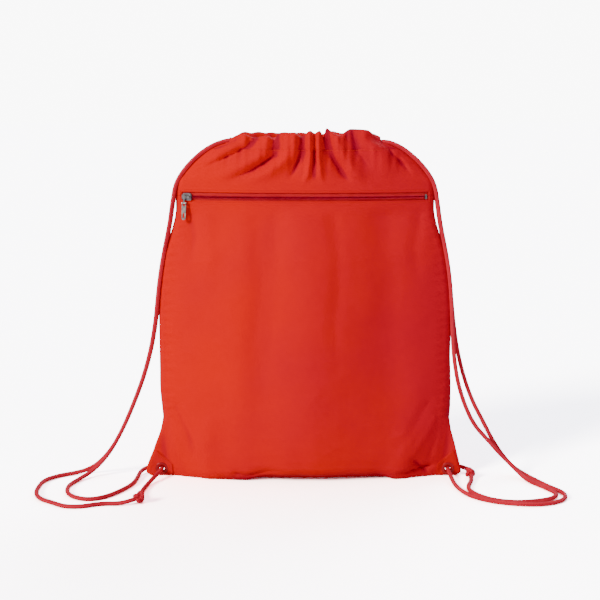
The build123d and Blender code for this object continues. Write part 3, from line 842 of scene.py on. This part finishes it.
def away_from_edge(x, z):
    """0 on a side seam, 1 over the stuffed body."""
    half_width, _, _, outer, _ = section(x, z)
    return smooth_step(0.0, 22.0, outer - abs(x)) * smooth_step(-4.0, 14.0, half_width - abs(x))


def gathers(x, z, seed):
    """Narrow pleats that the drawcord pulls into the hem, dying away below it."""
    drift = 5.0 * noise_at(x, z * 0.25, 34.0, seed)
    wide = ripple(x + 2 * drift, 15.5)
    narrow = ripple(x - drift, 8.3, seed)
    uneven = 0.75 + 0.5 * noise_at(x, 0, 23.0, seed + 3)
    return 1.25 * (0.8 * wide + 0.6 * narrow) * uneven * smooth_step(366.0, 408.0, z)


def folded_lip(x, z):
    """The doubled edge of the cloth beside the zip: a soft roll, then the dip of its stitching."""
    from_slot = abs(z - ZIP_HEIGHT) - SLOT_HALF_HEIGHT
    roll = 0.55 * math.exp(-((from_slot - 0.7) / 0.9) ** 2)
    pull = 0.8 + 0.3 * ripple(x, STITCH_PITCH)
    dip = 0.35 * math.exp(-((from_slot - 2.2) / 0.5) ** 2) * pull
    puff = 0.35 * math.exp(-((from_slot - 3.6) / 0.9) ** 2)
    ends = 1 - smooth_step(140.0, 149.0, abs(x))
    return (roll + puff - dip) * ends


def side_puckers(x, z, seed):
    """Small puckers along the side seams' stitching."""
    inwards = section(x, z)[3] - abs(x)
    wave = ripple(z, 11.0, 3 * noise_at(z, 0, 40.0, seed))
    return 0.55 * wave * math.exp(-(inwards - 9) ** 2 / 50.0) * smooth_step(60, 90, z)


def crumple(x, z, seed):
    """Broad waves and small crumples of light cloth over soft filling."""
    broad = 2.2 * noise_at(x, z, 95.0, seed)
    middle = 1.0 * noise_at(x, z, 38.0, seed + 1)
    creased = 0.9 * (0.5 - abs(noise_at(x * 0.8, z * 1.2, 30.0, seed + 2))) - 0.3
    return broad + middle + creased


def clear_of_cords(relief, z):
    """Swells the hem, and lets no crease there cut in as far as the cords."""
    hem = smooth_step(382, 402, z)
    deepest = -9.0 + 5.0 * hem
    soft = deepest + math.log1p(math.exp(1.6 * (relief - deepest))) / 1.6
    return soft + 2.5 * hem


def front_relief(x, z):
    """How far the front's folds and crumples stand out."""
    upper = fold_height(x, z, FRONT_FOLDS) if z > ZIP_HEIGHT else 0.0
    lower = fold_height(x, z, POCKET_FOLDS) if z < ZIP_HEIGHT else 0.0
    calm = 0.6 if z < ZIP_HEIGHT else 0.8
    body = upper + lower + calm * crumple(x, z, 2) + gathers(x, z, 4)
    body = clear_of_cords(body, z)
    body = body * away_from_zip(z) * away_from_edge(x, z) + side_puckers(x, z, 5) * away_from_zip(z)
    return body + folded_lip(x, z)


def random_folds(count, seed):
    """Seeded folds of the back, most of them steep and starting at the hem or the base."""
    dice = random.Random(seed)
    folds = []
    for i in range(count):
        x = dice.uniform(-130, 130)
        if i % 3:
            start = (x * 0.62, 420)
            length = dice.uniform(45, 150)
            end = (x * 0.62 + x * length / 260, 420 - length)
        else:
            start = (x, dice.uniform(6, 60))
            length = dice.uniform(50, 120)
            end = (x + dice.uniform(-30, 30), start[1] + length)
        middle = ((start[0] + end[0]) / 2 + dice.uniform(-7, 7), (start[1] + end[1]) / 2)
        rise = dice.choice((-1.3, 1)) * dice.uniform(2.4, 5.2)
        folds.append((rise, dice.uniform(3.5, 9), [start, middle, end]))
    return folds


BACK_FOLDS = random_folds(BACK_FOLD_COUNT, FOLD_SEED)


def back_relief(x, z):
    """How far the back's folds and crumples stand out."""
    body = fold_height(x, z, BACK_FOLDS) + crumple(x, z, 12) + gathers(x, z, 14)
    body = clear_of_cords(body, z)
    return body * away_from_edge(x, z) + side_puckers(x, z, 15)


def base_lift(x, z, side):
    """The front's lower edge is rucked up off the ground between the corners."""
    if side > 0:
        rise = 2.0 * smooth_step(-110, -60, x) * (1 - smooth_step(50, 110, x))
    else:
        rise = 6.5 * smooth_step(-78, -40, x) * (1 - smooth_step(86, 112, x))
        rise += 1.2 * noise_at(x, 0, 21.0, 9) * smooth_step(-150, -120, x) * (1 - smooth_step(130, 150, x))
    return max(0.0, rise) * (1 - smooth_step(0, 46, z))


def cloth_point(x, z, side, proud=0.0):
    """A point of the front's or back's outer face, or this far proud of it."""
    relief = front_relief(x, z) if side < 0 else back_relief(x, z)
    depth = max(0.0, cloth_depth(x, z) + relief)
    if abs(x) < section(x, z)[3] - 0.01:
        depth = max(0.3, depth)
    return (x, side * (depth + proud + SEAM_GAP), z + base_lift(x, z, side) + FLOOR_GAP)


def row_crease_shade(row, reach):
    """Painted shade for each point of a row: how far down in a crease it lies, against the points this many
    places from it, and the painted shade of the front's lower edge.
    """
    depths = [abs(y) for x, y, z in row]
    last = len(depths) - 1

    def hollow(c, away):
        return (depths[max(0, c - away)] + depths[min(last, c + away)]) / 2 - depths[c]
    crease_shade = []
    for c, (x, y, z) in enumerate(row):
        tight = smooth_step(0.5, 3.8, hollow(c, reach))
        broad = 0.12 * smooth_step(0.4, 3.0, hollow(c, 3 * reach))
        lower_edge_shade = base_shade(x, z) if y < 0 else 0.0
        share = CREASE_SHADE_SHARE if y < 0 else BACK_CREASE_SHADE_SHARE
        crease_shade.append(share * max(tight, broad, lower_edge_shade))
    return crease_shade


def base_shade(x, z):
    """Painted shade: 1 on the front's lower edge, which turns under between the corners."""
    return smooth_step(-116, -70, x) * (1 - smooth_step(90, 116, x)) * (1 - smooth_step(2.0, 15.0, z))


def heights_between(low, high, step=GRID):
    """Row heights about one step apart that meet both ends."""
    count = max(1, round((high - low) / step))
    return [low + (high - low) * i / count for i in range(count + 1)]


def cloth_rows(heights, side, under=False):
    """Rows of points at these heights, and under the sack to its bottom seam if asked."""
    rows = []
    if under:
        for share in UNDER_SHARES:
            rows.append([under_point(x, share, side) for x in row_places(0.0)])
    for z in heights:
        rows.append([cloth_point(x, z, side) for x in row_places(z)])
    return rows


def row_places(z):
    """Places across a row: even over the body, then round the edge on each side."""
    left_outer, left_round = section(-1, z)[3:]
    right_outer, right_round = section(1, z)[3:]
    left = left_round - left_outer
    right = right_outer - right_round
    around = [math.sin(math.radians(a)) for a in EDGE_ANGLES]
    body = [left + (right - left) * i / COLUMNS for i in range(COLUMNS + 1)]
    before = [left - left_round * a for a in reversed(around)]
    return before + body + [right + right_round * a for a in around]


def under_point(x, share, side):
    """A point of the cloth under the sack, from the bottom seam out to the front or back."""
    relief = front_relief(x, 0.0) if side < 0 else back_relief(x, 0.0)
    depth = max(0.3, cloth_depth(x, 0.0) + relief)
    sag = 1.4 * smooth_step(0.55, 1.0, share)
    y = side * (depth * share * (1 - 0.02 * sag) + SEAM_GAP)
    return (x, y, FLOOR_GAP + base_lift(x, 0.0, side) * share ** 3)


def row_uvs(rows):
    """Texture coordinates in metres: distance across each row, and distance up the middle."""
    middle = len(rows[0]) // 2
    uvs = []
    for row, up in zip(rows, lengths_along([row[middle] for row in rows])):
        across = lengths_along(row)
        uvs += [((a - across[middle]) * METRE, up * METRE) for a in across]
    return uvs


def in_eyelet(point):
    return math.hypot(abs(point[0]) - EYELET_X, point[2] - EYELET_Z) < EYELET_CUT


def cloth_piece(name, rows, side, material, node, keep=None):
    """A cloth panel from rows of points, with holes for the eyelets."""
    def kept(r, c):
        corners = (rows[r][c], rows[r][c + 1], rows[r + 1][c], rows[r + 1][c + 1])
        middle = [sum(values) / 4 for values in zip(*corners)]
        return not in_eyelet(middle) and (keep is None or keep(r, c))
    points = [p for row in rows for p in row]
    faces = grid_faces(len(rows), len(rows[0]), flip=side > 0, keep=kept)
    # The bag's cloth gets painted crease shade.
    crease_shade = None
    if material is BAG_CLOTH:
        crease_shade = [value for row in rows for value in row_crease_shade(row, CREASE_SHADE_REACH)]
    piece = build_mesh(name, points, faces, material, row_uvs(rows), crease_shade)
    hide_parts(node)
    return thicken(piece, CLOTH)


def make_front():
    """The pocket's outer wall below the zip and the panel above it, with the slot between."""
    slot_top = ZIP_HEIGHT + SLOT_HALF_HEIGHT
    slot_base = ZIP_HEIGHT - SLOT_HALF_HEIGHT
    lower = heights_between(0.0, slot_base - LIP)
    lower += heights_between(slot_base - LIP, slot_base, 0.6)[1:] + heights_between(slot_base, ZIP_HEIGHT)[1:]
    upper = heights_between(ZIP_HEIGHT, slot_top) + heights_between(slot_top, slot_top + LIP, 0.6)[1:]
    upper += heights_between(slot_top + LIP, SHOULDER_TOP)[1:]
    rows = cloth_rows(lower, -1, under=True)
    edge = len(EDGE_ANGLES)

    def not_slot(row, column, rows_used):
        height = sum(rows_used[row + k][column][2] for k in (0, 1)) / 2 - FLOOR_GAP
        beside = column < edge or column >= len(rows_used[0]) - 1 - edge
        return (beside or abs(height - ZIP_HEIGHT) > SLOT_HALF_HEIGHT) and below_hem(rows_used, row, column)
    pocket = cloth_piece("pocket_front_cloth", rows, -1, BAG_CLOTH, "pocket_front",
                         lambda r, c: not_slot(r, c, rows))
    above = cloth_rows(upper, -1)
    panel = cloth_piece("front_panel_cloth", above, -1, BAG_CLOTH, "front_panel_upper",
                        lambda r, c: not_slot(r, c, above))


def below_hem(rows, row, column):
    """Whether a face of a panel is below the hem's seam, or on a shoulder beside the hem's end."""
    x, _, z = rows[row][column]
    return z - FLOOR_GAP < HEM_BASE + 1.5 or abs(x) > SHOULDER_INNER


def make_back():
    rows = cloth_rows(heights_between(0.0, SHOULDER_TOP), 1, under=True)
    back = cloth_piece("back_panel_cloth", rows, 1, BAG_CLOTH, "back_panel",
                       lambda r, c: below_hem(rows, r, c))


def make_lining():
    """The pocket's inner wall, stitched in along the zip's lower tape and the side seams."""
    rows = []
    for z in heights_between(4.0, 356.0):
        half_width, depth = ease_through(LINING, z)
        inner = half_width - 1.0
        row = []
        for i in range(LINING_COLUMNS + 1):
            x = inner * (2 * i / LINING_COLUMNS - 1)
            bulge = arc_depth(x, half_width, depth, 3.0)
            row.append((x, -(bulge + 0.7 * noise_at(x, z, 40.0, 21) * smooth_step(0, 30, inner - abs(x))), z))
        rows.append(row)
    lining = cloth_piece("pocket_lining_cloth", rows, -1, LINING_CLOTH, "pocket_lining")


def hem_rise(x, seed):
    """Ragged upper edge of the gathered hem, falling to the cords at both ends."""
    rise = ease_through(HEM_RISE, x)[0]
    if seed:
        rise = 3.5 * noise_at(x, 0, 13.0, seed) + 2.0 * noise_at(x, 0, 31.0, seed + 1)
    return rise - 4.5 * smooth_step(76, 92, abs(x))


def hem_outline(share_across, side, seed):
    """The hem's closed profile at one place along it: up the outer face, over and down the inner one."""
    relief_side = front_relief if side < 0 else back_relief
    x_top = share_across * (section(share_across, 414.0)[3] - 1.0)
    x_base = share_across * (section(share_across, HEM_BASE)[3] - 3.5)
    top = HEM_TOP + hem_rise(x_top, seed)
    outer = []
    for share in HEM_SHARES:
        z = HEM_BASE + (top - HEM_BASE) * share
        x = x_base + (x_top - x_base) * min(1.0, share * 1.8)
        pinch = 0.5 * math.exp(-((share - 0.04) / 0.08) ** 2)
        swell = 0.8 * math.sin(math.pi * share)
        outer.append((x, cloth_depth(x, min(z, SACK_TOP)) + relief_side(x, z) + swell - pinch, z))
    profile = list(outer)
    x, face, shoulder = outer[-1]
    wave = 0.8 * noise_at(x_top, 0, 9.0, seed + 31)
    inner = cloth_depth(x_top, 411.0) * (0.46 - 0.16 * smooth_step(70, 88, abs(x_top))) + wave
    half = (face - inner) / 2
    for angle in (30, 60, 90, 120, 150):
        a = math.radians(angle)
        profile.append((x, inner + half + half * math.cos(a), shoulder + (top - shoulder) * math.sin(a)))
    for x, depth, z in reversed(outer[1:]):
        profile.append((x, inner, z))
    profile.append((x_base, outer[0][1] - 2.2, HEM_BASE))
    return [(x, side * (max(0.9, depth) + SEAM_GAP), z + FLOOR_GAP) for x, depth, z in profile]


def make_hem(side, name, node, seed):
    """One half of the gathered hem: a cloth channel, open at both ends for the cords."""
    columns = [hem_outline(2 * i / HEM_COLUMNS - 1, side, seed) for i in range(HEM_COLUMNS + 1)]
    ring = len(columns[0])
    points = [p for column in columns for p in column]
    faces = ring_faces(HEM_COLUMNS + 1, ring, flip=side > 0)
    # Painted crease shade, measured along each row of the hem's outer face.
    outer_crease_shade = [row_crease_shade([column[k] for column in columns], HEM_CREASE_SHADE_REACH)
                  for k in range(len(HEM_SHARES))]
    crease_shade = [outer_crease_shade[min(k, len(outer_crease_shade) - 1)][i] for i in range(len(columns)) for k in range(ring)]
    uvs = [(point[0] * 1.5 * METRE, along * METRE)
           for column in columns for point, along in zip(column, lengths_along(column))]
    hem = build_mesh(name, points, faces, BAG_CLOTH, uvs, crease_shade)
    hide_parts(node)
    thicken(hem, CLOTH * 0.8)
    soften(hem)


def seam_strip(name, rows, node):
    """A seam allowance: a narrow strip of doubled cloth."""
    points = [p for row in rows for p in row]
    faces = grid_faces(len(rows), len(rows[0]))
    seam = build_mesh(name, points, faces, BAG_CLOTH, row_uvs(rows))
    doubled = seam.modifiers.new("thickness", "SOLIDIFY")
    doubled.thickness = SEAM_CLOTH * METRE
    doubled.offset = 0.0
    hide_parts(node)


def make_seams():
    """Overlocked seam allowances inside the sack, one up each side and one along the bottom."""
    for sign, word in HANDS:
        rows = []
        for z in heights_between(14.0, 396.0):
            half_width = section(sign, z)[0]
            wave = SEAM_WAVE * ripple(z, SEAM_WAVE_PITCH)
            rows.append([(sign * (half_width - 8 + 8 * k / 4), wave * (1 - k / 4), z) for k in range(5)])
        seam_strip("side_seam_cloth_" + word, rows, "side_seam_" + word)
    rows = []
    for z in (2.2, 4.0, 6.0, 8.0, 9.6):
        wave = [(x, SEAM_WAVE * ripple(x, SEAM_WAVE_PITCH)) for x in range(-148, 149, 2)]
        rows.append([(x, y * (z - 2) / 8, z) for x, y in wave])
    seam_strip("bottom_seam_cloth", rows, "bottom_seam")


# ---------------------------------------------------------------- corner patches and eyelets

def patch_rows(sign, side):
    """Rows of points over one side of a corner ear, in the patch's four-sided outline."""
    rows = []
    for r in range(PATCH_ROWS + 1):
        v = r / PATCH_ROWS
        row = []
        for c in range(PATCH_COLUMNS + 1):
            x = 163.2 + 28.6 * c / PATCH_COLUMNS
            low = 1.2 + 3.0 * smooth_step(186, 192.5, x)
            high = 14.5 + (x - 163) * 0.86 if x < 183.5 else 32.0 - (x - 183.5) * 3.0
            z = low + (max(high, low + 0.8) - low) * v
            lift = 0.25 * noise_at(x, z, 5.0, 41) + 0.35
            row.append(cloth_point(sign * min(x, section(sign, z)[3] - 0.15), z, side, 0.5 + lift))
        rows.append(row)
    return rows


def make_patch(sign, word):
    """A patch of coated cloth on both faces of a corner."""
    points = []
    faces = []
    uvs = []
    for side in (-1, 1):
        rows = patch_rows(sign, side)
        start = len(points)
        points += [p for row in rows for p in row]
        uvs += row_uvs(rows)

        def whole(r, c):
            middle = [sum(v) / 4 for v in zip(rows[r][c], rows[r][c + 1], rows[r + 1][c], rows[r + 1][c + 1])]
            return not in_eyelet(middle)
        for face in grid_faces(len(rows), len(rows[0]), flip=side * sign > 0, keep=whole):
            faces.append(tuple(start + i for i in face))
    patch = build_mesh("corner_patch_cloth_" + word, points, faces, PATCH_CLOTH, uvs)
    thicken(patch, PATCH)
    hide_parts("corner_patch_" + word)


def turned_ring(name, profile, sign, node):
    """A pressed ring: a profile of radius and depth turned about the eyelet's axis."""
    sides = 48
    points = []
    for i in range(sides):
        a = 2 * math.pi * i / sides
        points += [(sign * EYELET_X + r * math.cos(a), y, EYELET_Z + r * math.sin(a)) for r, y in profile]
    faces = ring_faces(sides, len(profile), joined=True)
    piece = build_mesh(name, points, faces, LACQUER)
    soften(piece)
    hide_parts(node)


# ---------------------------------------------------------------- stitches and zip

def stitch_run(spots, side):
    """Corners and faces of stitches along a line given by spots: start and end of each stitch."""
    corners = []
    faces = []
    for start, end in spots:
        a = Vector(start)
        b = Vector(end)
        line = []
        for t in (0.0, 0.15, 0.4, 0.6, 0.85, 1.0):
            rise = THREAD * (1.1 * math.sin(math.pi * t) ** 0.6 - 0.55)
            line.append((a.lerp(b, t) + Vector((0, side * rise, 0))))
        more_corners, more_faces = tube(line, THREAD, 6)[:2]
        start_index = len(corners)
        corners += more_corners
        faces += [tuple(start_index + i for i in face) for face in more_faces]
    return corners, faces


def cloth_line(ends, side, proud=0.0):
    """Stitch ends along a straight line drawn on the cloth between two places in x and z."""
    (ax, az), (bx, bz) = ends
    length = math.hypot(bx - ax, bz - az)
    count = int(length / STITCH_PITCH)
    spots = []
    for i in range(count):
        places = []
        for away in (i * STITCH_PITCH, i * STITCH_PITCH + STITCH_LENGTH):
            t = away / length
            places.append(cloth_point(ax + (bx - ax) * t, az + (bz - az) * t, side, proud))
        spots.append(places)
    return spots


def make_stitches():
    """Topstitching beside the zip, along the hem and round the corner patches."""
    zip_spots = []
    for offset in (SLOT_HALF_HEIGHT + 2.2, -SLOT_HALF_HEIGHT - 2.2):
        z = ZIP_HEIGHT + offset
        zip_spots += cloth_line([(-149, z), (149, z)], -1)
    for sign in (-1, 1):
        zip_spots += cloth_line([(sign * 148.6, ZIP_HEIGHT - 8), (sign * 148.6, ZIP_HEIGHT + 8)], -1)
    groups = [("zip_stitches", zip_spots, -1)]
    for side, word in ((-1, "front"), (1, "back")):
        spots = cloth_line([(-92, HEM_BASE - 0.6), (92, HEM_BASE - 0.6)], side)
        groups.append(("hem_stitches_" + word, spots, side))
        for sign, hand in HANDS:
            diagonal = cloth_line([(sign * 165.5, 13.5), (sign * 182.5, 28.6)], side, 1.0)
            groups.append(("patch_stitches_%s_%s" % (word, hand), diagonal, side))
    for name, spots, side in groups:
        corners, faces = stitch_run(spots, side)
        build_mesh(name, corners, faces, THREAD_RED)


def on_zip_curve(angle, radius, z):
    """A point on the zip's curve, at an angle from straight ahead."""
    return Vector((radius * math.sin(angle), ZIP_CENTRE - radius * math.cos(angle), z))


def make_coil(sign, node):
    """One side of the coil zip: a flattened spiral of nylon filament sewn to the tape."""
    start = math.asin(COIL_START / COIL_RADIUS)
    end = math.asin(COIL_END / COIL_RADIUS)
    turns = int((end - start) * COIL_RADIUS / COIL_PITCH)
    steps = 12
    line = []
    for i in range(turns * steps + 1):
        turn = i / steps + (0.5 if sign > 0 else 0.0)
        angle = start + (end - start) * i / (turns * steps)
        swing = 2 * math.pi * turn
        radius = COIL_RADIUS + COIL_HALF_DEPTH * math.sin(swing)
        height = ZIP_HEIGHT + sign * COIL_OFFSET + COIL_HALF_HEIGHT * math.cos(swing)
        line.append(on_zip_curve(angle, radius, height))
    corners, faces = tube(line, COIL_WIRE, 6)[:2]
    coil = build_mesh(node + "_coil", corners, faces, COIL_NYLON)
    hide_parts(node)


def make_tape_stitches():
    """The thread that holds each coil to its tape."""
    reach = math.asin(146.0 / TAPE_RADIUS)
    count = int(2 * reach * TAPE_RADIUS / 2.0)
    spots = []
    for offset in (-3.4, 3.4, -4.6, 4.6):
        for i in range(count):
            a = -reach + 2 * reach * i / count
            b = a + 1.45 / TAPE_RADIUS
            spots.append([on_zip_curve(t, TAPE_RADIUS + 0.05, ZIP_HEIGHT + offset) for t in (a, b)])
    corners, faces = stitch_run(spots, -1)
    build_mesh("tape_stitches", corners, faces, COIL_NYLON)


def finish_cad_nodes():
    """CAD nodes whose shape is right keep it and get their finish."""
    finishes = dict.fromkeys(("zip_tape_upper", "zip_tape_lower"), TAPE_TWILL)
    finishes.update(dict.fromkeys(("zip_stop_left", "zip_stop_right", "zip_slider_body", "zip_slider_crown",
                                   "zip_pull_link", "zip_pull"), NICKEL))
    for name, material in finishes.items():
        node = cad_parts[name]
        for holder in (node if isinstance(node, (list, tuple)) else [node]):
            for slot in holder.material_slots:
                slot.material = material


# ---------------------------------------------------------------- making

make_camera()
make_cord("left", LEFT_CORD_OUT, LEFT_CORD_LEG, LEFT_CORD_HOME, *LEFT_KNOT)
make_cord("right", RIGHT_CORD_OUT, RIGHT_CORD_LEG, RIGHT_CORD_HOME, *RIGHT_KNOT)
make_floor()
make_light()
make_front()
make_back()
make_lining()
make_hem(-1, "hem_cloth_front", "hem_channel_front", 0)
make_hem(1, "hem_cloth_back", "hem_channel_back", 61)
make_seams()
for hand_sign, hand_word in HANDS:
    make_patch(hand_sign, hand_word)
    turned_ring("eyelet_ring_" + hand_word, EYELET_PROFILE, hand_sign, "eyelet_" + hand_word)
    turned_ring("eyelet_washer_ring_" + hand_word, WASHER_PROFILE, hand_sign, "eyelet_washer_" + hand_word)
make_stitches()
make_coil(1, "zip_teeth_upper")
make_coil(-1, "zip_teeth_lower")
make_tape_stitches()
finish_cad_nodes()
